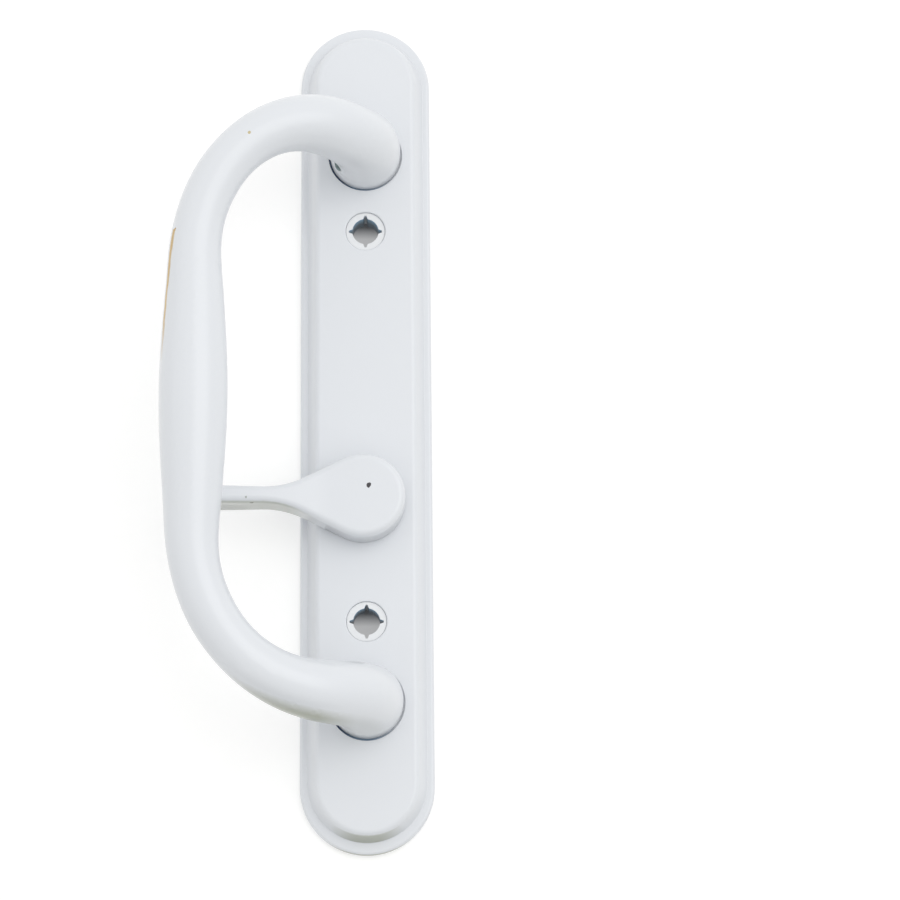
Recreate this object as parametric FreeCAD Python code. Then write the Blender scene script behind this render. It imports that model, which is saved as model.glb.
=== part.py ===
import FreeCAD, Part
import math
import os

# Sliding patio door pull: a stepped backplate, a cast bow and a thumb-turn.
# Millimetres, +Z up the door. The back of the plate is the plane Y = 0 and the
# user stands on the -Y side, so "out" below is a distance from the door, -Y.

os.makedirs("parts", exist_ok=True)
V = FreeCAD.Vector

# Backplate, an obround with a low rim, a ledge and a steep bevel to the face
PLATE_W = 41.0
PLATE_L = 266.0
PLATE_T = 8.5
RIM_T = 2.4
LEDGE_W = 2.3
END_LEDGE_W = 3.6
BEVEL_RUN = 2.8
END_BEVEL_RUN = 1.9
RIM_ROUND = 1.0
COVE_ROUND = 0.4
FACE_ROUND = 2.0
FACE_WALL = 2.5
BACK_LAND = 4.6
BEVEL_WALL = 2.3
RIB_T = 1.8
RIB_Z = (-108.0, -44.0, 0.0, 38.0, 108.0)

# Fixing holes with split bushes
HOLE_SPACING = 125.0
HOLE_R = 4.15
BUSH_R = 5.2
BUSH_FLANGE_R = 6.1
BUSH_FLANGE_T = 1.2
BUSH_SUNK = 0.7
BUSH_LIP = 0.45
BUSH_FIT = 0.05
FLANGE_GAP = 0.1
SLIT_IN = 1.4
SLIT_OUT = 0.6
BOSS_WALL = 2.4

# Feet of the bow, sunk in shallow round recesses and held on studs
FOOT_SPACING = 175.0
FOOT_R = 11.1
FOOT_GAP = 0.6
FOOT_SUNK = 1.2
FOOT_EDGE = 0.5
STUD_R = 6.0
STUD_FIT = 0.05
STUD_LEN = 13.0
STUD_FLANGE_R = 8.0
STUD_FLANGE_T = 1.5
STUD_RELIEF = 0.3
STUD_LEAD = 0.8
THREAD_R = 3.0
THREAD_HOLE_R = 3.2
THREAD_END = 0.35
PAD_R = 10.0
PAD_OUT = 4.4
WASHER_R = 6.0
WASHER_T = 0.8
NUT_AF = 10.0
NUT_T = 3.2

# Grub screws on the side of the feet that faces into the bow
GRUB_R = 1.5
GRUB_FIT = 0.1
GRUB_ANGLE = 35.0
GRUB_OUT = 15.8
GRUB_SUNK = 0.7
GRUB_KEY_AF = 1.5
GRUB_KEY_DEPTH = 1.2

# Bow, whose centreline is one ellipse seen from the front and one from above
BOW_POST = 14.0
BOW_OUT = 46.0
BOW_OFFSET = 51.0
BOW_ARM = 12.0
BOW_SPREAD = 0.6
BOW_DROP = 46.5
ARM_R = 10.3
NECK_R = 7.4
GRIP_R = 10.25
FLARE_TO = 0.09
NECK_FROM = 0.456
NECK_TO = 0.55
BOW_SECTION_COUNT = 12

# Thumb lever, a teardrop head with a deep narrow arm
LEVER_Z = -25.15
LEVER_GAP = 0.56
HEAD_R = 13.0
HEAD_SHIFT = -1.0
HEAD_OUT = 19.5
ARM_LEN = 48.5
ARM_HALF = 2.5
TIP_HALF = 2.8
NECK_SLOPE = 26.5
NECK_ROUND = 28.0
TIP_ROUND = 2.4
ARM_TOP = 23.0
ARM_LIFT = 10.0
ARM_LIFT_AT = 30.0
SWAY_ROUND = 60.0
LIFT_ROUND = 12.0
LEVER_EDGE = 2.0
HUB_R = 6.0
HUB_END = 0.6
SOCKET_L = 7.6
SOCKET_W = 3.2
SOCKET_DEPTH = 12.0

# Bearing of the lever in the plate
JOURNAL_FIT = 0.06
LEVER_BUSH_R = 7.6
LEVER_FLANGE_R = 9.2
LEVER_FLANGE_T = 0.5
LEVER_PAD_R = 10.6
GROOVE_R = 5.0
GROOVE_W = 1.1
GROOVE_OUT = 1.5
RING_T = 0.9
RING_R = 7.7
RING_FIT = 0.05
RING_MOUTH = 62.0
THRUST_T = 0.6
THRUST_R = 8.6
SPRING_T = 0.35
SPRING_R = 8.4
SPRING_RISE = 0.75
SPRING_PLAY = 0.35
RUN_GAP = 0.05

# Sizes that follow from the ones above
END_C = (PLATE_L - PLATE_W) / 2
PLATE_R = PLATE_W / 2
CEILING = PLATE_T - FACE_WALL
FOOT_SEAT = PLATE_T - FOOT_SUNK
FOOT_Z = (FOOT_SPACING / 2, -FOOT_SPACING / 2)
HOLE_Z = (HOLE_SPACING / 2, -HOLE_SPACING / 2)
BUSH_TOP = PLATE_T - BUSH_SUNK
BUSH_SEAT = BUSH_TOP - BUSH_FLANGE_T
LEVER_BACK = PLATE_T + LEVER_GAP


def at(x, out, z):
    return V(x, -out, z)


def disc(r, out0, out1, x=0.0, z=0.0):
    """A round solid standing off the door between two heights."""
    return Part.makeCylinder(r, out1 - out0, at(x, out0, z), V(0, -1, 0))


def ring(r_in, r_out, out0, out1, x=0.0, z=0.0):
    return disc(r_out, out0, out1, x, z).cut(disc(r_in, out0 - 1, out1 + 1, x, z))


def rounded(corners, place):
    """A closed wire through corners (a, b, radius), each corner an arc.

    place turns (a, b) into a point, so one outline serves any plane.
    """
    edges = []
    spans = []
    n = len(corners)
    for i in range(n):
        a, b, r = corners[i]
        p = V(a, b, 0)
        back = V(*corners[i - 1][:2], 0) - p
        ahead = V(*corners[(i + 1) % n][:2], 0) - p
        back.normalize()
        ahead.normalize()
        if r <= 0:
            spans.append((p, None, p))
            continue
        half = back.getAngle(ahead) / 2
        run = r / math.tan(half)
        toward = back + ahead
        toward.normalize()
        mid = p + toward * (r / math.sin(half) - r)
        spans.append((p + back * run, mid, p + ahead * run))
    for i in range(n):
        start, mid, end = spans[i]
        if mid is not None:
            arc = [place(q.x, q.y) for q in (start, mid, end)]
            edges.append(Part.Arc(*arc).toShape())
        leave = place(end.x, end.y)
        reach = place(spans[(i + 1) % n][0].x, spans[(i + 1) % n][0].y)
        if leave.distanceToPoint(reach) > 1e-6:
            edges.append(Part.makeLine(leave, reach))
    return Part.Wire(edges)


def obround(half, centre):
    """Carry a half profile (radius, out, round) along the plate and round its ends."""
    wire = rounded(half, lambda r, out: at(r, out, -centre))
    face = Part.Face(wire)
    right = face.extrude(V(0, 0, 2 * centre))
    left = right.mirror(V(0, 0, 0), V(1, 0, 0))
    low = face.revolve(V(0, 0, -centre), V(0, 1, 0), 180)
    if low.BoundBox.ZMax > -centre + 1:
        low = face.revolve(V(0, 0, -centre), V(0, -1, 0), 180)
    high = low.mirror(V(0, 0, 0), V(0, 0, 1))
    return right.fuse([left, low, high]).removeSplitter()


def outline(r, centre, out):
    """The long round-ended outline of the plate at one height."""
    low = Part.Arc(at(-r, out, -centre), at(0, out, -centre - r), at(r, out, -centre))
    high = Part.Arc(at(r, out, centre), at(0, out, centre + r), at(-r, out, centre))
    right = Part.makeLine(at(r, out, -centre), at(r, out, centre))
    left = Part.makeLine(at(-r, out, centre), at(-r, out, -centre))
    return Part.Wire([low.toShape(), right, high.toShape(), left])


def loop_at(shape, out, reach):
    """The edges of a shape that lie at one height, no further from the middle than reach."""
    flat = [e for e in shape.Edges if e.BoundBox.YLength < 0.01 and abs(e.Vertexes[0].Point.y + out) < 0.01]
    return [e for e in flat if abs(e.Vertexes[0].Point.x) < reach]


def biggest(shape):
    """The solid of a one-piece result."""
    solids = sorted(shape.Solids, key=lambda s: s.Volume)
    return solids[-1]


# The stepped backplate: a round-edged rim, and a raised face that ends further in than it stands in at the sides
bevel_foot = PLATE_R - LEDGE_W
face_edge = bevel_foot - BEVEL_RUN
bevel_c = END_C - (END_LEDGE_W - LEDGE_W)
face_c = bevel_c + BEVEL_RUN - END_BEVEL_RUN
plate = obround([(0, 0, 0), (PLATE_R, 0, 0), (PLATE_R, RIM_T, RIM_ROUND), (0, RIM_T, 0)], END_C)
raised = Part.makeLoft([outline(bevel_foot, bevel_c, RIM_T), outline(face_edge, face_c, PLATE_T)], True, True)
raised = raised.makeFillet(FACE_ROUND, loop_at(raised, PLATE_T, PLATE_R))
plate = plate.fuse(raised).removeSplitter()
plate = plate.makeFillet(COVE_ROUND, loop_at(plate, RIM_T, bevel_foot + 0.05))

# Hollow back, with lands for the bosses and cross ribs left standing
cavity_top = bevel_foot - BEVEL_RUN * (CEILING - RIM_T) / (PLATE_T - RIM_T) - BEVEL_WALL
hollow = obround([
    (0, -1, 0),
    (PLATE_R - BACK_LAND, -1, 0),
    (PLATE_R - BACK_LAND, 0, 0),
    (cavity_top, CEILING, 0),
    (0, CEILING, 0),
], bevel_c)
keep = []
for z in HOLE_Z:
    keep.append(disc(BUSH_R + BOSS_WALL, 0, PLATE_T, 0, z))
for z in FOOT_Z:
    keep.append(disc(PAD_R, PAD_OUT, PLATE_T, 0, z))
keep.append(disc(LEVER_PAD_R, PAD_OUT, PLATE_T, 0, LEVER_Z))
for z in RIB_Z:
    keep.append(Part.makeBox(PLATE_W, PLATE_T, RIB_T, at(-PLATE_R, PLATE_T, z - RIB_T / 2)))
plate = plate.cut(hollow.cut(keep[0].fuse(keep[1:])))

# Seats, bores and recesses of the plate
for z in HOLE_Z:
    plate = plate.cut(disc(BUSH_R + BUSH_FIT, -1, PLATE_T + 1, 0, z))
    plate = plate.cut(disc(BUSH_FLANGE_R + FLANGE_GAP, BUSH_SEAT, PLATE_T + 1, 0, z))
plate = plate.makeFillet(BUSH_LIP, loop_at(plate, PLATE_T, BUSH_FLANGE_R + 2 * FLANGE_GAP))
for z in FOOT_Z:
    plate = plate.cut(disc(FOOT_R + FOOT_GAP, FOOT_SEAT, PLATE_T + 1, 0, z))
    plate = plate.cut(disc(THREAD_HOLE_R, 0, PLATE_T, 0, z))
plate = plate.cut(disc(LEVER_BUSH_R, 0, PLATE_T + 1, 0, LEVER_Z))
plate = biggest(plate.removeSplitter())
plate.exportStep("parts/backplate.step")


# Split bushes in the fixing holes, four fingers under one flange
def split_bush(z):
    bush = disc(BUSH_R, 0, BUSH_TOP, 0, z).fuse(disc(BUSH_FLANGE_R, BUSH_SEAT, BUSH_TOP, 0, z))
    bush = bush.cut(disc(HOLE_R, -1, PLATE_T, 0, z)).removeSplitter()
    slit = [
        (HOLE_R - 1, -SLIT_IN / 2, 0),
        (HOLE_R, -SLIT_IN / 2, 0),
        (BUSH_R + BUSH_FIT, -SLIT_OUT / 2, 0),
        (BUSH_R + BUSH_FIT, SLIT_OUT / 2, 0),
        (HOLE_R, SLIT_IN / 2, 0),
        (HOLE_R - 1, SLIT_IN / 2, 0),
    ]
    wire = rounded(slit, lambda a, b: at(a, -1, z + b))
    tool = Part.Face(wire).extrude(at(0, PLATE_T + 2, 0))
    for quarter in range(4):
        turned = tool.copy()
        turned.rotate(V(0, 0, z), V(0, 1, 0), 90 * quarter)
        bush = bush.cut(turned)
    return biggest(bush)


Part.makeCompound([split_bush(z) for z in HOLE_Z]).exportStep("parts/screw_bushes.step")


# The bow: round sections strung along a centreline that is an ellipse from
# above (out of the plate, then across) and an ellipse from the front
def blend(a, b, u):
    return a + (b - a) * (1 - math.cos(math.pi * u)) / 2


def out_at(across):
    """Height off the door of the centreline, a quarter ellipse seen from above."""
    share = 1 - across / BOW_OFFSET
    return BOW_POST + (BOW_OUT - BOW_POST) * math.sqrt(max(0.0, 1 - share * share))


def centreline():
    """Fine points from the end of the post to the middle of the grip."""
    steps = 200
    arm_z = FOOT_SPACING / 2 + BOW_SPREAD
    turn = math.acos(1 - BOW_ARM / BOW_OFFSET)
    points = []
    for i in range(steps):
        u = i / steps
        across = BOW_OFFSET * (1 - math.cos(turn * u))
        z = blend(FOOT_SPACING / 2, arm_z, u)
        points.append(at(-across, out_at(across), z))
    for i in range(steps):
        a = math.pi / 2 * i / steps
        across = BOW_ARM + (BOW_OFFSET - BOW_ARM) * math.sin(a)
        z = arm_z - BOW_DROP * (1 - math.cos(a))
        points.append(at(-across, out_at(across), z))
    for i in range(steps + 1):
        z = (arm_z - BOW_DROP) * (1 - i / steps)
        points.append(at(-BOW_OFFSET, BOW_OUT, z))
    return points


def walk(count):
    """Centreline points at even steps of length, with the share of the length."""
    fine = centreline()
    run = [0.0]
    for p, q in zip(fine, fine[1:]):
        run.append(run[-1] + p.distanceToPoint(q))
    points = []
    j = 0
    for k in range(count + 1):
        want = run[-1] * k / count
        while j < len(fine) - 2 and run[j + 1] < want:
            j += 1
        share = (want - run[j]) / (run[j + 1] - run[j])
        points.append((fine[j] + (fine[j + 1] - fine[j]) * share, k / count))
    return points


def section_r(share):
    """Radius of the bow: flared at the foot, thin at the neck, full at the grip."""
    flare = max(0.0, 1 - share / FLARE_TO) ** 2 * (FOOT_R - ARM_R)
    if share < NECK_FROM:
        return flare + blend(ARM_R, NECK_R, share / NECK_FROM)
    if share < NECK_TO:
        return NECK_R
    return blend(NECK_R, GRIP_R, (share - NECK_TO) / (1 - NECK_TO))


half_bow = walk(BOW_SECTION_COUNT)
stations = [(p, section_r(s)) for p, s in half_bow]
for p, s in reversed(half_bow[:-1]):
    stations.append((V(p.x, p.y, -p.z), section_r(s)))
spine = Part.BSplineCurve()
spine.interpolate([p for p, r in stations])
circles = []
side = V(0, 0, 1)
for i, (p, r) in enumerate(stations):
    tangent = spine.tangent(spine.parameter(p))[0]
    if i == 0:
        tangent = V(0, -1, 0)
    if i == len(stations) - 1:
        tangent = V(0, 1, 0)
    side = side - tangent * side.dot(tangent)
    side.normalize()
    other = tangent.cross(side)
    frame = FreeCAD.Matrix(
        side.x, other.x, tangent.x, p.x,
        side.y, other.y, tangent.y, p.y,
        side.z, other.z, tangent.z, p.z,
    )
    circle = Part.Wire(Part.makeCircle(r))
    circle.Placement = FreeCAD.Placement(frame)
    circles.append(circle)
bow = Part.makeLoft(circles, True, False)
for z in FOOT_Z:
    foot = disc(FOOT_R, FOOT_SEAT, BOW_POST, 0, z)
    rim = [e for e in foot.Edges if e.BoundBox.YLength < 1e-6 and abs(e.BoundBox.YMax + FOOT_SEAT) < 1e-6]
    bow = bow.fuse(foot.makeChamfer(FOOT_EDGE, rim))


def grub_way(z):
    """Direction out of a foot along its grub screw, towards the inside of the bow."""
    down = -1 if z > 0 else 1
    tilt = math.radians(GRUB_ANGLE)
    return V(-math.cos(tilt), 0, down * math.sin(tilt))


# Bores for the studs and the grub screws
for z in FOOT_Z:
    seat = FOOT_SEAT + STUD_FLANGE_T
    bow = bow.cut(disc(STUD_R + STUD_FIT, FOOT_SEAT - 1, seat + STUD_LEN + 1, 0, z))
    bow = bow.cut(disc(STUD_FLANGE_R + STUD_RELIEF, FOOT_SEAT - 1, seat + STUD_RELIEF, 0, z))
    way = grub_way(z)
    bow = bow.cut(Part.makeCylinder(GRUB_R + GRUB_FIT, FOOT_R + 4, at(0, GRUB_OUT, z), way))
bow = biggest(bow)
bow.exportStep("parts/pull_bow.step")


# Studs, washers and nuts that hold the bow to the plate
def hexagon(af, out0, out1, z):
    r = af / math.sqrt(3)
    pts = [at(r * math.cos(math.radians(60 * k)), out0, z + r * math.sin(math.radians(60 * k)))
           for k in range(6)]
    return Part.Face(Part.makePolygon(pts + pts[:1])).extrude(at(0, out1 - out0, 0))


studs = []
washers = []
nuts = []
grubs = []
for z in FOOT_Z:
    seat = FOOT_SEAT + STUD_FLANGE_T
    stud = disc(STUD_R, seat, seat + STUD_LEN, 0, z)
    tip = [e for e in stud.Edges if e.BoundBox.YMax < -(seat + STUD_LEN) + 1e-6 and e.BoundBox.XLength > 1]
    stud = stud.makeChamfer(STUD_LEAD, tip)
    stud = stud.fuse([disc(STUD_FLANGE_R, FOOT_SEAT, seat, 0, z), disc(THREAD_R, THREAD_END, FOOT_SEAT, 0, z)])
    studs.append(stud.removeSplitter())
    washers.append(ring(THREAD_HOLE_R, WASHER_R, PAD_OUT - WASHER_T, PAD_OUT, 0, z))
    nut_out = PAD_OUT - WASHER_T
    nut = hexagon(NUT_AF, nut_out - NUT_T, nut_out, z)
    cone_r = NUT_AF / math.sqrt(3) - 0.45
    crown = Part.makeCone(cone_r, cone_r + NUT_T * 2, NUT_T, at(0, nut_out - NUT_T, z), V(0, -1, 0))
    nut = nut.common(crown).cut(disc(THREAD_R, -1, PLATE_T, 0, z))
    nuts.append(nut)
    way = grub_way(z)
    start = at(0, GRUB_OUT, z) + way * STUD_R
    length = FOOT_R - GRUB_SUNK - STUD_R - 0.3
    grub = Part.makeCylinder(GRUB_R, length, start, way)
    grubs.append((grub, start + way * length, way))


def key_socket(point, way):
    """A hexagon socket sunk into the outer end of a grub screw."""
    a = V(0, 1, 0)
    b = way.cross(a)
    r = GRUB_KEY_AF / math.sqrt(3)
    pts = [point + a * (r * math.cos(math.radians(60 * k))) + b * (r * math.sin(math.radians(60 * k)))
           for k in range(6)]
    return Part.Face(Part.makePolygon(pts + pts[:1])).extrude(way * -GRUB_KEY_DEPTH)


grubs = [g.cut(key_socket(p, w)) for g, p, w in grubs]
Part.makeCompound(studs).exportStep("parts/bow_studs.step")
Part.makeCompound(washers).exportStep("parts/stud_washers.step")
Part.makeCompound(nuts).exportStep("parts/stud_nuts.step")
Part.makeCompound(grubs).exportStep("parts/grub_screws.step")

# Thumb lever: the teardrop seen from the front, cut to its depth seen from below
slope = math.radians(NECK_SLOPE)
touch_x = -HEAD_R * math.sin(slope)
touch_z = HEAD_R * math.cos(slope)
neck_x = touch_x - (touch_z - ARM_HALF) / math.tan(slope)


def front(a, b):
    return at(a + HEAD_SHIFT, LEVER_BACK, LEVER_Z + b)


arm_wire = rounded([
    (touch_x, touch_z, 0),
    (neck_x, ARM_HALF, NECK_ROUND),
    (-ARM_LEN, TIP_HALF, TIP_ROUND),
    (-ARM_LEN, -TIP_HALF, TIP_ROUND),
    (neck_x, -ARM_HALF, NECK_ROUND),
    (touch_x, -touch_z, 0),
], front)
blank = Part.Face(arm_wire).extrude(at(0, ARM_TOP, 0))
blank = blank.fuse(disc(HEAD_R, LEVER_BACK, LEVER_BACK + ARM_TOP, HEAD_SHIFT, LEVER_Z)).removeSplitter()


def from_below(a, b):
    return at(a, b, LEVER_Z - 2 * HEAD_R)


depth_wire = rounded([
    (HEAD_R + 2, LEVER_BACK, 0),
    (HEAD_R + 2, HEAD_OUT, 0),
    (-HEAD_R, HEAD_OUT, SWAY_ROUND),
    (-ARM_LEN - 2, ARM_TOP, 0),
    (-ARM_LEN - 2, ARM_LIFT, 0),
    (-ARM_LIFT_AT, ARM_LIFT, LIFT_ROUND),
    (-HEAD_R, LEVER_BACK, LIFT_ROUND),
], from_below)
depth = Part.Face(depth_wire).extrude(V(0, 0, 4 * HEAD_R))
lever = biggest(blank.common(depth))
crest = [e for e in lever.Edges if e.BoundBox.YMax < -HEAD_OUT + 0.05]
lever = lever.makeFillet(LEVER_EDGE, crest)

# Hub of the lever, with the ring groove and the slot for the lock's tail blade
hub = disc(HUB_R, HUB_END, LEVER_BACK + 1, 0, LEVER_Z)
hub = hub.cut(ring(GROOVE_R, HUB_R + 1, GROOVE_OUT, GROOVE_OUT + GROOVE_W, 0, LEVER_Z))
lever = lever.fuse(hub)
slot = Part.makeBox(SOCKET_W, SOCKET_DEPTH, SOCKET_L,
                    at(-SOCKET_W / 2, HUB_END + SOCKET_DEPTH, LEVER_Z - SOCKET_L / 2))
lever = biggest(lever.cut(slot).removeSplitter())
lever.exportStep("parts/thumb_lever.step")

# Bearing bush under the lever
bush = disc(LEVER_BUSH_R, PAD_OUT, PLATE_T + LEVER_FLANGE_T, 0, LEVER_Z)
bush = bush.fuse(disc(LEVER_FLANGE_R, PLATE_T, PLATE_T + LEVER_FLANGE_T, 0, LEVER_Z)).removeSplitter()
bush = bush.cut(disc(HUB_R + JOURNAL_FIT, 0, PLATE_T + 2, 0, LEVER_Z))
biggest(bush).exportStep("parts/lever_bush.step")

# Retaining ring in the groove, open on one side
ring_out = GROOVE_OUT + (GROOVE_W - RING_T) / 2
clip = ring(GROOVE_R + RING_FIT, RING_R, ring_out, ring_out + RING_T, 0, LEVER_Z)
mouth = math.radians(RING_MOUTH / 2)
wedge = Part.makePolygon([
    at(0, ring_out - 1, LEVER_Z),
    at(2 * RING_R, ring_out - 1, LEVER_Z + 2 * RING_R * math.tan(mouth)),
    at(2 * RING_R, ring_out - 1, LEVER_Z - 2 * RING_R * math.tan(mouth)),
    at(0, ring_out - 1, LEVER_Z),
])
clip = clip.cut(Part.Face(wedge).extrude(at(0, RING_T + 2, 0)))
biggest(clip).exportStep("parts/retaining_ring.step")

# Thrust washer on the ring
thrust_out = ring_out + RING_T
thrust = ring(HUB_R + RUN_GAP, THRUST_R, thrust_out, thrust_out + THRUST_T, 0, LEVER_Z)
thrust.exportStep("parts/thrust_washer.step")


# Curved spring washer between the thrust washer and the plate
spring_base = thrust_out + THRUST_T + RUN_GAP
bend_r = (SPRING_R ** 2 + SPRING_RISE ** 2) / (2 * SPRING_RISE)
bend_start = at(0, spring_base + SPRING_RISE - bend_r, LEVER_Z - 2 * SPRING_R)
bend = Part.makeCylinder(bend_r + SPRING_T, 4 * SPRING_R, bend_start, V(0, 0, 1))
bend = bend.cut(Part.makeCylinder(bend_r, 4 * SPRING_R, bend_start, V(0, 0, 1)))
blank_ring = ring(HUB_R + SPRING_PLAY, SPRING_R, 0, PLATE_T, 0, LEVER_Z)
biggest(blank_ring.common(bend)).exportStep("parts/spring_washer.step")
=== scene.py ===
"""Looks of the sliding patio door handle: castings, coatings, wear, backdrop, light and camera."""
import math

import bpy
from mathutils import Matrix, Vector


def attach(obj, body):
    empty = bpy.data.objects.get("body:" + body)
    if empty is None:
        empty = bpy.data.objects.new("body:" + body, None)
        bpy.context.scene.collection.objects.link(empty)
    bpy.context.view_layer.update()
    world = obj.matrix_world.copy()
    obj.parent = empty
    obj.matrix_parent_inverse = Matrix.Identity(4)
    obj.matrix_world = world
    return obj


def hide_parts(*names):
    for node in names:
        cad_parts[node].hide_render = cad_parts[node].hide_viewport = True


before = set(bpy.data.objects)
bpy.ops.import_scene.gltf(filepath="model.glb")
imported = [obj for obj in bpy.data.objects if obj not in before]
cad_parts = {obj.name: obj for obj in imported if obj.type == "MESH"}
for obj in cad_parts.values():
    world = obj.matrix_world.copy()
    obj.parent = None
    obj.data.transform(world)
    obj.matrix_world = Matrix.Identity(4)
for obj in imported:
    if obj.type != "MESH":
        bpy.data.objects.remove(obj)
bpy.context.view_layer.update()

MM = 0.001

# Places on the handle, in millimetres: x across, y into the door, z up
PLATE_T = 8.5
PLATE_R = 20.5
PLATE_C = 112.5
HOLLOW_R = 16.1
HOLLOW_END_Z = 111.2
HOLLOW_DRAFT = 0.2
HOLLOW_OUT = 6.4
HOLE_Z = 62.5
BUSH_R = 5.1
BUSH_TOP = 7.8
BUSH_SKIN = 0.06
FOOT_Z = 87.5
FOOT_RECESS_R = 11.75
FACE_SKIN = 0.1
# Mouth of the upper grub screw, with its place folded to positive x, y and z
GRUB_MOUTH = (8.68, 15.8, 81.42)
GRUB_MOUTH_R = 1.68

# Specks, each a place, a radius and a tint
BOW_SPECKS = [((-34.45, -51.95, 79.7), 0.5, "C8BA90"), ((-56.7, -50.3, 49.4), 0.6, "A67E3A")]
LEVER_SPECKS = [((0.95, -19.5, -22.38), 0.72, "2E2A30"), ((-36.4, -21.55, -26.4), 0.32, "B0B4B0"),
                ((-34.7, -19.6, -27.5), 0.72, "7E8374")]
SPECK_CELLS = 0.8

# Line on the outer side of the grip where the coat looks rubbed through
RUB_X = -52
RUB_Y = -49.7
RUB_FADE_Z = (8, 22)
RUB_TOP_Z = 49.8
RUB_HALF = 1.0
RUB_CORE = 0.5
RUB_WANDER = 9
NOISE_MIDDLE = 0.5

# Painted olive shade on faces that look down: where it starts and is full, and the share that it covers
SHADE_PLATE_Z = (-116, -130)
SHADE_ON_PLATE = 1.0
SHADE_BOW_Z = (-45, -72)
SHADE_ON_BOW = 1.0
SHADE_BOW_X = (-14, -3)
SHADE_AT_FOOT = 0.2
SHADE_ARM_X = (-14, -24)
SHADE_ON_ARM = 0.75
SHADE_NORMAL_Z = (-0.72, -0.93)

# Merged copies of the solids, in millimetres and degrees
MERGE_WITHIN = 0.002
FLAT_WITHIN = 0.3
SMOOTH_UNDER = 32

# Camera fitted to the photograph, in millimetres and degrees
CAMERA_AIM = (26.16, 0, -6.77)
CAMERA_AWAY = 901
CAMERA_BELOW = 13.71
CAMERA_LEFT = 1.17
CAMERA_ROLL = -0.58
CAMERA_LENS = 115.16
CAMERA_SENSOR = 36
CAMERA_NEAR = 10

# Studio, in millimetres: a sheet behind the plate, one soft lamp and a room that is dim below
SHEET_GAP = 0.05
SHEET_SIZE = 6000
SHEET_GLOW = 0.41
# Painted shade on the paper in the fixing holes: its reach, where it lightens, and its glow from top to
# bottom
HOLE_REACH = 8
HOLE_SHADE_Z = (3.8, -0.1)
HOLE_GLOW = (0.01, 0.34)
KEY_PLACE = (600, -1200, 250)
KEY_WIDE = 1200
KEY_TALL = 1000
KEY_WATTS = 3.5
ROOM_STEP = (-0.94, -0.7)


def linear(hex_colour):
    """The scene-linear colour of an sRGB hex value."""
    parts = [int(hex_colour[i:i + 2], 16) / 255 for i in (0, 2, 4)]
    return [c / 12.92 if c <= 0.04045 else ((c + 0.055) / 1.055) ** 2.4 for c in parts] + [1]


# Powder coat on a zinc casting, baked: a hard cool white with a clear gloss over a faint orange peel.
PAINT_WHITE = linear("E4E7EB")
PEEL_CELL = 1.6
PEEL_DEPTH = 0.012
# Zinc die casting where the coat only dusts it: a dull light grey with a mottled grain.
BARE_ZINC = linear("9FA3A6")
ZINC_GRAIN = 0.9
GRAIN_SPAN = (0.35, 0.65)
DUSTED = (0.15, 0.5)
# Painted shade in the recess round a foot: dark blue at its left, steel blue below, and the coat's white to
# its right.
RECESS_DEEP_SHADE = linear("3C5680")
RECESS_HALF_SHADE = linear("8FA9C2")
RECESS_HALF_SHADE_X = (-8, -3.5)
RECESS_UNSHADED_X = (1, 9)
# Tapped bore of a grub screw, bare and oily: green grey.
BARE_BORE = linear("A2B6B8")
# Rubbed line on the grip, taken as primer that shows through the coat: a warm tan.
RUB_TAN = linear("C6A25A")
# Painted shade on faces that look down, matched to the photograph: a faint olive grey.
PAINTED_SHADE_OLIVE = linear("A9AD9F")
# Moulded nylon, unfilled: milky white on the flange, with painted shade in the bore, blue at its edge and
# dim in its depth.
NYLON_WHITE = linear("ECEEF0")
NYLON_EDGE_SHADE = linear("93B7CF")
NYLON_DEEP_SHADE = linear("68737C")
NYLON_SHADE_DEPTHS = (0.5, 4.5)
# Matt paper: a neutral white, with painted shade in the fixing holes.
PAPER = linear("D8D8D7")
PAPER_HOLE_SHADE = linear("858587")
# Walls of a pale room: near white, and a dark olive below.
ROOM_LOW = linear("42483F")
ROOM_HIGH = linear("F2F2F2")

# Kinds of node and their settings
PLACE = "ShaderNodeTexCoord"
SPLIT = "ShaderNodeSeparateXYZ"
JOIN = "ShaderNodeCombineXYZ"
MATH = "ShaderNodeMath"
VECTOR = "ShaderNodeVectorMath"
RANGE = "ShaderNodeMapRange"
NOISE = "ShaderNodeTexNoise"
MIX = "ShaderNodeMix"
PLUS = {"operation": "ADD"}
MINUS = {"operation": "SUBTRACT"}
TIMES = {"operation": "MULTIPLY"}
LESS = {"operation": "LESS_THAN"}
MORE = {"operation": "GREATER_THAN"}
LARGER = {"operation": "MAXIMUM"}
UNSIGNED = {"operation": "ABSOLUTE"}
REMAINDER = {"operation": "FLOORED_MODULO"}
LENGTH = {"operation": "LENGTH"}
DISTANCE = {"operation": "DISTANCE"}
NUMBER = {"data_type": "FLOAT"}
COLOUR = {"data_type": "RGBA"}
# Sockets of a colour mix: the share, the colour under, the colour over it and what they give
SHARE = 0
UNDER = 6
OVER = 7
LAID = 2


def add(tree, kind, settings, feeds, out=0):
    """Adds a node with its settings and what feeds its sockets, values or links, and gives one output."""
    node = tree.nodes.new(kind)
    for name, value in settings.items():
        setattr(node, name, value)
    for socket, value in feeds.items():
        if isinstance(value, bpy.types.NodeSocket):
            tree.links.new(value, node.inputs[socket])
        else:
            node.inputs[socket].default_value = value
    return node.outputs[out]


# Regions of a piece, as shares from 0 to 1, and distances in front view

def overlap(tree, *shares):
    """The share where all of these overlap."""
    result = shares[0]
    for share in shares[1:]:
        result = add(tree, MATH, TIMES, {0: result, 1: share})
    return result


def spoke(tree, x, z):
    """The length of a line that goes x across and z up."""
    tip = add(tree, JOIN, {}, {"X": x, "Z": z})
    return add(tree, VECTOR, LENGTH, {0: tip}, "Value")


def beyond(tree, z, height):
    """How far a place lies past this height above or below the plate's middle."""
    return add(tree, MATH, MINUS, {0: add(tree, MATH, UNSIGNED, {0: z}), 1: height * MM})


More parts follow.
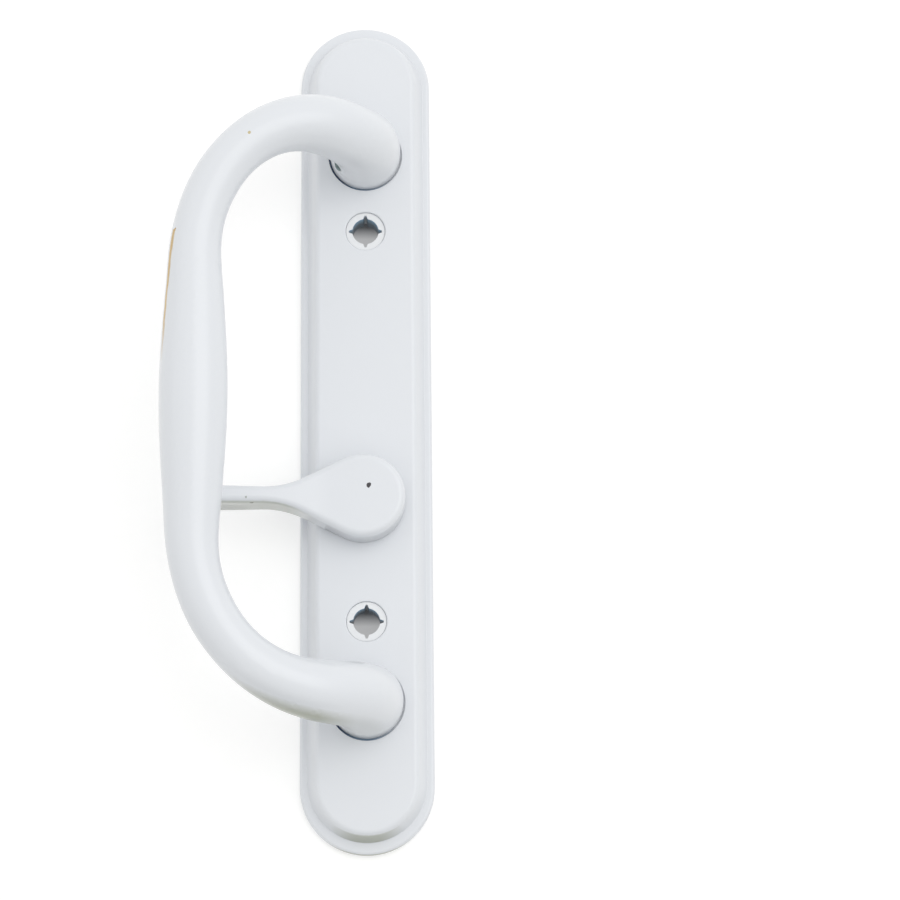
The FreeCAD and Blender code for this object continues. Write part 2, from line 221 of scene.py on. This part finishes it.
def from_axis(tree, place, end_z):
    """The distance from the plate's long axis, which ends end_z above and below its middle."""
    x, _, z = add(tree, SPLIT, {}, {0: place}).node.outputs
    past = add(tree, MATH, LARGER, {0: beyond(tree, z, end_z), 1: 0.0})
    return spoke(tree, x, past)


def looks_down(tree):
    """How far a face looks down the door."""
    z = add(tree, SPLIT, {}, {0: add(tree, PLACE, {}, {}, "Normal")}, "Z")
    return add(tree, RANGE, {}, {"Value": z, "From Min": SHADE_NORMAL_Z[0], "From Max": SHADE_NORMAL_Z[1]})


# Materials

def new_material(name, settings):
    """A material with its tree, its principled shader and its object coordinates."""
    material = bpy.data.materials.new(name)
    material.use_nodes = True
    tree = material.node_tree
    shader = tree.nodes["Principled BSDF"]
    for key, value in settings.items():
        shader.inputs[key].default_value = value
    return material, tree, shader, add(tree, PLACE, {}, {}, "Object")


def specked(tree, place, colour, specks):
    """The colour with ragged specks on it."""
    for spot, radius, tint in specks:
        ragged = add(tree, NOISE, {}, {"Vector": place, "Scale": SPECK_CELLS / (radius * MM), "Detail": 2.0})
        reach = add(tree, MATH, TIMES, {0: ragged, 1: 2 * radius * MM})
        away = add(tree, VECTOR, DISTANCE, {0: place, 1: Vector(spot) * MM}, "Value")
        inside = add(tree, MATH, LESS, {0: away, 1: reach})
        colour = add(tree, MIX, COLOUR, {SHARE: inside, UNDER: colour, OVER: linear(tint)}, LAID)
    return colour


def powder_coat(name):
    """The coat with its gloss and its orange peel, before its colour is laid on."""
    material, tree, shader, place = new_material(name, {
        "Roughness": 0.3, "IOR": 1.5, "Coat Weight": 0.5, "Coat Roughness": 0.22})
    peel = add(tree, NOISE, {}, {"Vector": place, "Scale": 1 / (PEEL_CELL * MM), "Detail": 1.0})
    bump = add(tree, "ShaderNodeBump", {}, {"Height": peel, "Distance": PEEL_DEPTH * MM, "Strength": 0.5})
    tree.links.new(bump, shader.inputs["Normal"])
    return material, tree, shader, place


def coat_of_plate():
    """The coat on the plate: full on the front, a dusting in the hollow back, and painted shade on its lower
    end and in the foot recesses.
    """
    material, tree, shader, place = powder_coat("powder coat on the plate casting")
    x, y, z = add(tree, SPLIT, {}, {0: place}).node.outputs

    # Painted shade on the faces that look down at the plate's lower end.
    low_end = add(tree, RANGE, {}, {"Value": z, "From Min": SHADE_PLATE_Z[0] * MM,
                                    "From Max": SHADE_PLATE_Z[1] * MM, "To Max": SHADE_ON_PLATE})
    painted_shade = overlap(tree, low_end, looks_down(tree))
    colour = add(tree, MIX, COLOUR, {SHARE: painted_shade, UNDER: PAINT_WHITE, OVER: PAINTED_SHADE_OLIVE}, LAID)

    slope = add(tree, MATH, TIMES, {0: y, 1: HOLLOW_DRAFT})
    wall = add(tree, MATH, PLUS, {0: slope, 1: HOLLOW_R * MM})
    in_wall = add(tree, MATH, LESS, {0: from_axis(tree, place, HOLLOW_END_Z), 1: wall})
    in_back = add(tree, MATH, MORE, {0: y, 1: -HOLLOW_OUT * MM})
    hollow = overlap(tree, in_wall, in_back)
    grain = add(tree, NOISE, {}, {"Vector": place, "Scale": 1 / (ZINC_GRAIN * MM), "Detail": 4.0})
    dust = add(tree, RANGE, {}, {"Value": grain, "From Min": GRAIN_SPAN[0], "From Max": GRAIN_SPAN[1],
                                 "To Min": DUSTED[0], "To Max": DUSTED[1]})
    zinc = add(tree, MIX, COLOUR, {SHARE: dust, UNDER: BARE_ZINC, OVER: PAINT_WHITE}, LAID)
    colour = add(tree, MIX, COLOUR, {SHARE: hollow, UNDER: colour, OVER: zinc}, LAID)

    # Painted shade in the recess round each foot: dark blue to the left, steel blue below, none to the
    # right.
    from_foot = spoke(tree, x, beyond(tree, z, FOOT_Z))
    in_ring = add(tree, MATH, LESS, {0: from_foot, 1: FOOT_RECESS_R * MM})
    sunk = add(tree, MATH, MORE, {0: y, 1: (FACE_SKIN - PLATE_T) * MM})
    in_front = add(tree, MATH, LESS, {0: y, 1: -HOLLOW_OUT * MM})
    shaded_recess = overlap(tree, in_ring, sunk, in_front)
    half_shaded = add(tree, RANGE, {}, {"Value": x, "From Min": RECESS_HALF_SHADE_X[0] * MM,
                                 "From Max": RECESS_HALF_SHADE_X[1] * MM})
    unshaded = add(tree, RANGE, {}, {"Value": x, "From Min": RECESS_UNSHADED_X[0] * MM,
                                   "From Max": RECESS_UNSHADED_X[1] * MM})
    recess_shade = add(tree, MIX, COLOUR, {SHARE: half_shaded, UNDER: RECESS_DEEP_SHADE, OVER: RECESS_HALF_SHADE}, LAID)
    recess_shade = add(tree, MIX, COLOUR, {SHARE: unshaded, UNDER: recess_shade, OVER: PAINT_WHITE}, LAID)
    colour = add(tree, MIX, COLOUR, {SHARE: shaded_recess, UNDER: colour, OVER: recess_shade}, LAID)
    tree.links.new(colour, shader.inputs["Base Color"])
    return material


def coat_of_bow():
    """The coat on the bow: painted shade under its lower turn, specks, and a tan line along the grip."""
    material, tree, shader, place = powder_coat("powder coat on the bow casting")
    x, y, z = add(tree, SPLIT, {}, {0: place}).node.outputs

    # Painted shade on the faces that look down under the bow's lower turn, with less of it near the foot.
    low_turn = add(tree, RANGE, {}, {"Value": z, "From Min": SHADE_BOW_Z[0] * MM,
                                     "From Max": SHADE_BOW_Z[1] * MM, "To Max": SHADE_ON_BOW})
    off_foot = add(tree, RANGE, {}, {"Value": x, "From Min": SHADE_BOW_X[0] * MM,
                                     "From Max": SHADE_BOW_X[1] * MM,
                                     "To Min": 1.0, "To Max": SHADE_AT_FOOT})
    painted_shade = overlap(tree, low_turn, off_foot, looks_down(tree))
    colour = add(tree, MIX, COLOUR, {SHARE: painted_shade, UNDER: PAINT_WHITE, OVER: PAINTED_SHADE_OLIVE}, LAID)
    colour = specked(tree, place, colour, BOW_SPECKS)

    wander = add(tree, NOISE, {}, {"Vector": place, "Scale": 1 / (RUB_WANDER * MM), "Detail": 2.0})
    centred = add(tree, MATH, MINUS, {0: wander, 1: NOISE_MIDDLE})
    sway = add(tree, MATH, TIMES, {0: centred, 1: 2 * RUB_HALF * MM})
    aside = add(tree, MATH, PLUS, {0: add(tree, MATH, MINUS, {0: y, 1: RUB_Y * MM}), 1: sway})
    off_line = add(tree, MATH, UNSIGNED, {0: aside})
    band = add(tree, RANGE, {}, {"Value": off_line, "From Min": RUB_CORE * RUB_HALF * MM,
                                 "From Max": RUB_HALF * MM, "To Min": 1.0, "To Max": 0.0})
    low = add(tree, RANGE, {}, {"Value": z, "From Min": RUB_FADE_Z[0] * MM, "From Max": RUB_FADE_Z[1] * MM})
    high = add(tree, MATH, LESS, {0: z, 1: RUB_TOP_Z * MM})
    outer = add(tree, MATH, LESS, {0: x, 1: RUB_X * MM})
    rub = overlap(tree, band, low, high, outer)
    colour = add(tree, MIX, COLOUR, {SHARE: rub, UNDER: colour, OVER: RUB_TAN}, LAID)

    folded = add(tree, VECTOR, UNSIGNED, {0: place}, "Vector")
    from_mouth = add(tree, VECTOR, DISTANCE, {0: folded, 1: Vector(GRUB_MOUTH) * MM}, "Value")
    in_mouth = add(tree, MATH, LESS, {0: from_mouth, 1: GRUB_MOUTH_R * MM})
    left = add(tree, MATH, LESS, {0: x, 1: 0.0})
    bore = overlap(tree, in_mouth, left)
    colour = add(tree, MIX, COLOUR, {SHARE: bore, UNDER: colour, OVER: BARE_BORE}, LAID)
    tree.links.new(colour, shader.inputs["Base Color"])
    return material


def coat_of_lever():
    """The coat on the thumb lever: painted shade under its arm, and specks."""
    material, tree, shader, place = powder_coat("powder coat on the lever casting")
    x = add(tree, SPLIT, {}, {0: place}, "X")
    # Painted shade on the faces that look down under the lever's arm.
    on_arm = add(tree, RANGE, {}, {"Value": x, "From Min": SHADE_ARM_X[0] * MM,
                                   "From Max": SHADE_ARM_X[1] * MM, "To Max": SHADE_ON_ARM})
    painted_shade = overlap(tree, on_arm, looks_down(tree))
    colour = add(tree, MIX, COLOUR, {SHARE: painted_shade, UNDER: PAINT_WHITE, OVER: PAINTED_SHADE_OLIVE}, LAID)
    tree.links.new(specked(tree, place, colour, LEVER_SPECKS), shader.inputs["Base Color"])
    return material


def moulded_nylon():
    """The nylon of the split bushes: white on the flange, with painted shade in the bore."""
    material, tree, shader, place = new_material("moulded white nylon", {"Roughness": 0.38, "IOR": 1.53})
    x, y, z = add(tree, SPLIT, {}, {0: place}).node.outputs
    in_bush = add(tree, MATH, LESS, {0: spoke(tree, x, beyond(tree, z, HOLE_Z)), 1: BUSH_R * MM})
    sunk = add(tree, MATH, MORE, {0: y, 1: (BUSH_SKIN - BUSH_TOP) * MM})
    inside = overlap(tree, in_bush, sunk)
    # Painted shade in the bore: blue at its edge, dimmer deeper in.
    depth_shade = add(tree, RANGE, {}, {"Value": y, "From Min": (NYLON_SHADE_DEPTHS[0] - BUSH_TOP) * MM,
                                 "From Max": (NYLON_SHADE_DEPTHS[1] - BUSH_TOP) * MM})
    bore = add(tree, MIX, COLOUR, {SHARE: depth_shade, UNDER: NYLON_EDGE_SHADE, OVER: NYLON_DEEP_SHADE}, LAID)
    colour = add(tree, MIX, COLOUR, {SHARE: inside, UNDER: NYLON_WHITE, OVER: bore}, LAID)
    tree.links.new(colour, shader.inputs["Base Color"])
    return material


def plain(name, hex_colour, settings):
    """A material of one colour and finish."""
    return new_material(name, {"Base Color": linear(hex_colour), **settings})[0]


coat_plate = coat_of_plate()
coat_bow = coat_of_bow()
coat_lever = coat_of_lever()
nylon = moulded_nylon()
# Turned acetal, natural: ivory white and waxy.
acetal = plain("turned natural acetal", "E2E0D6", {"Roughness": 0.4, "IOR": 1.48})
# Bright zinc plate on turned and pressed steel: bluish grey and evenly bright.
zinc_plate = plain("bright zinc plated steel", "B9BEC4", {"Roughness": 0.32, "Metallic": 1.0})
# Black oxide on a hardened screw: nearly black, with a dull oily gloss.
black_oxide = plain("black oxide steel", "1C1E21", {"Roughness": 0.45, "IOR": 1.6})
# Tempered spring steel strip: dark brown grey with a sharp gloss.
spring_strip = plain("tempered spring steel", "5B5A5C", {"Roughness": 0.3, "Metallic": 1.0})


# Castings and fittings

def dressed(node, body, slot, material, flats):
    """A merged copy that stands for a solid, smooth where it is round and crisp where it has an edge."""
    bpy.ops.object.select_all(action="DESELECT")
    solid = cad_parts[node]
    solid.select_set(True)
    bpy.context.view_layer.objects.active = solid
    bpy.ops.object.duplicate(linked=False)
    piece = bpy.context.active_object
    piece.parent = None
    for key in list(piece.keys()):
        del piece[key]
    piece.name = node + "_finished"
    bpy.ops.object.mode_set(mode="EDIT")
    bpy.ops.mesh.select_all(action="SELECT")
    bpy.ops.mesh.remove_doubles(threshold=MERGE_WITHIN * MM)
    if flats:
        bpy.ops.mesh.dissolve_limited(angle_limit=math.radians(FLAT_WITHIN))
    bpy.ops.object.mode_set(mode="OBJECT")
    bpy.ops.object.shade_smooth_by_angle(angle=math.radians(SMOOTH_UNDER))
    even = piece.modifiers.new("even", "WEIGHTED_NORMAL")
    even.keep_sharp = True
    bpy.ops.object.modifier_apply(modifier=even.name)
    piece.data.materials.clear()
    piece.data.materials.append(material)
    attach(piece, body)
    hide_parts(node)


# Each node's body, slot and finish, and whether its flat faces are joined
FINISHES = {
    "backplate": ("pull", "painted_zinc", coat_plate, True),
    "pull_bow": ("pull", "painted_zinc", coat_bow, False),
    "thumb_lever": ("turn", "painted_zinc", coat_lever, False),
    "screw_bushes": ("pull", "white_nylon", nylon, True),
    "lever_bush": ("pull", "natural_acetal", acetal, True),
    "bow_studs": ("pull", "plated_steel", zinc_plate, True),
    "stud_washers": ("pull", "plated_steel", zinc_plate, True),
    "stud_nuts": ("pull", "plated_steel", zinc_plate, True),
    "thrust_washer": ("turn", "plated_steel", zinc_plate, True),
    "grub_screws": ("pull", "black_steel", black_oxide, True),
    "spring_washer": ("pull", "spring_steel", spring_strip, True),
    "retaining_ring": ("turn", "spring_steel", spring_strip, True),
}
for node, finish in FINISHES.items():
    dressed(node, *finish)


# Studio

def matt_paper():
    """White paper that shines a little where it is seen, with painted shade in the fixing holes.

    It is clear from behind and to shadow rays, and under the plate to rays that no eye follows, so that
    the handle's back stays lit.
    """
    material = bpy.data.materials.new("matt white paper")
    material.use_nodes = True
    tree = material.node_tree
    tree.nodes.remove(tree.nodes["Principled BSDF"])
    place = add(tree, PLACE, {}, {}, "Object")
    x, _, z = add(tree, SPLIT, {}, {0: place}).node.outputs
    rays = add(tree, "ShaderNodeLightPath", {}, {}).node.outputs
    seen = add(tree, MATH, LARGER, {0: rays["Is Camera Ray"], 1: rays["Is Glossy Ray"]})
    seen = add(tree, MATH, LARGER, {0: seen, 1: rays["Is Transmission Ray"]})

    # Painted shade in each fixing hole: a darker paper, with a glow that is dim at the hole's top and rises
    # below.
    step = add(tree, MATH, REMAINDER, {0: z, 1: 2 * HOLE_Z * MM})
    up_hole = add(tree, MATH, MINUS, {0: step, 1: HOLE_Z * MM})
    shade = add(tree, RANGE, {}, {"Value": up_hole, "From Min": HOLE_SHADE_Z[0] * MM,
                                  "From Max": HOLE_SHADE_Z[1] * MM,
                                  "To Min": HOLE_GLOW[0], "To Max": HOLE_GLOW[1]})
    in_hole = add(tree, MATH, LESS, {0: spoke(tree, x, beyond(tree, z, HOLE_Z)), 1: HOLE_REACH * MM})
    glow = add(tree, MIX, NUMBER, {"Factor": in_hole, "A": SHEET_GLOW, "B": shade})
    colour = add(tree, MIX, COLOUR, {SHARE: in_hole, UNDER: PAPER, OVER: PAPER_HOLE_SHADE}, LAID)
    paper = add(tree, "ShaderNodeBsdfDiffuse", {}, {"Color": colour})
    shine = add(tree, "ShaderNodeEmission", {}, {"Strength": overlap(tree, seen, glow)})
    white = add(tree, "ShaderNodeAddShader", {}, {0: paper, 1: shine})

    under_plate = add(tree, MATH, LESS, {0: from_axis(tree, place, PLATE_C), 1: PLATE_R * MM})
    unseen = overlap(tree, under_plate, add(tree, MATH, MINUS, {0: 1.0, 1: seen}))
    behind = add(tree, "ShaderNodeNewGeometry", {}, {}, "Backfacing")
    through = add(tree, MATH, LARGER, {0: behind, 1: rays["Is Shadow Ray"]})
    through = add(tree, MATH, LARGER, {0: through, 1: unseen})
    clear = add(tree, "ShaderNodeBsdfTransparent", {}, {})
    surface = add(tree, "ShaderNodeMixShader", {}, {0: through, 1: white, 2: clear})
    tree.links.new(surface, tree.nodes["Material Output"].inputs["Surface"])
    return material


def lay_backdrop():
    """The pale sheet that the handle lies on, close behind the plate."""
    bpy.ops.object.select_all(action="DESELECT")
    bpy.ops.mesh.primitive_plane_add(size=SHEET_SIZE * MM, location=(0, SHEET_GAP * MM, 0),
                                     rotation=(math.pi / 2, 0, 0))
    sheet = bpy.context.active_object
    bpy.ops.object.transform_apply(location=True, rotation=True, scale=True)
    sheet.name = "backdrop"
    sheet.data.materials.append(matt_paper())


def hang_lamp():
    """A soft box to the right of the camera, turned to the handle. It lights but isn't seen."""
    lamp = bpy.data.lights.new("broad_key", "AREA")
    lamp.shape = "RECTANGLE"
    lamp.size = KEY_WIDE * MM
    lamp.size_y = KEY_TALL * MM
    lamp.energy = KEY_WATTS
    holder = bpy.data.objects.new("broad_key", lamp)
    bpy.context.scene.collection.objects.link(holder)
    holder.location = Vector(KEY_PLACE) * MM
    holder.rotation_euler = (-holder.location).to_track_quat("-Z", "Y").to_euler()
    holder.visible_camera = False


def light_room():
    """An even pale room, dim straight below the handle."""
    world = bpy.data.worlds.new("pale room")
    bpy.context.scene.world = world
    world.use_nodes = True
    tree = world.node_tree
    rise = add(tree, SPLIT, {}, {0: add(tree, PLACE, {}, {}, "Generated")}, "Z")
    share = add(tree, RANGE, {}, {"Value": rise, "From Min": ROOM_STEP[0], "From Max": ROOM_STEP[1]})
    colour = add(tree, MIX, COLOUR, {SHARE: share, UNDER: ROOM_LOW, OVER: ROOM_HIGH}, LAID)
    tree.links.new(colour, tree.nodes["Background"].inputs["Color"])


def set_camera():
    """The fitted camera: below and a touch left of the plate's normal, turned by its small roll."""
    below = math.radians(CAMERA_BELOW)
    left = math.radians(CAMERA_LEFT)
    roll = math.radians(CAMERA_ROLL)
    back = Vector((-math.sin(left) * math.cos(below), -math.cos(left) * math.cos(below), -math.sin(below)))
    right = (-back).cross(Vector((0, 0, 1))).normalized()
    up = right.cross(-back)
    x = right * math.cos(roll) + up * math.sin(roll)
    y = up * math.cos(roll) - right * math.sin(roll)
    lens = bpy.data.cameras.new("camera")
    lens.lens = CAMERA_LENS
    lens.sensor_width = CAMERA_SENSOR
    lens.clip_start = CAMERA_NEAR * MM
    holder = bpy.data.objects.new("camera", lens)
    bpy.context.scene.collection.objects.link(holder)
    stand = Vector(CAMERA_AIM) * MM + back * CAMERA_AWAY * MM
    holder.matrix_world = Matrix.Translation(stand) @ Matrix((x, y, back)).transposed().to_4x4()
    bpy.context.scene.camera = holder


lay_backdrop()
hang_lamp()
light_room()
set_camera()
bpy.context.scene.view_settings.view_transform = "Standard"
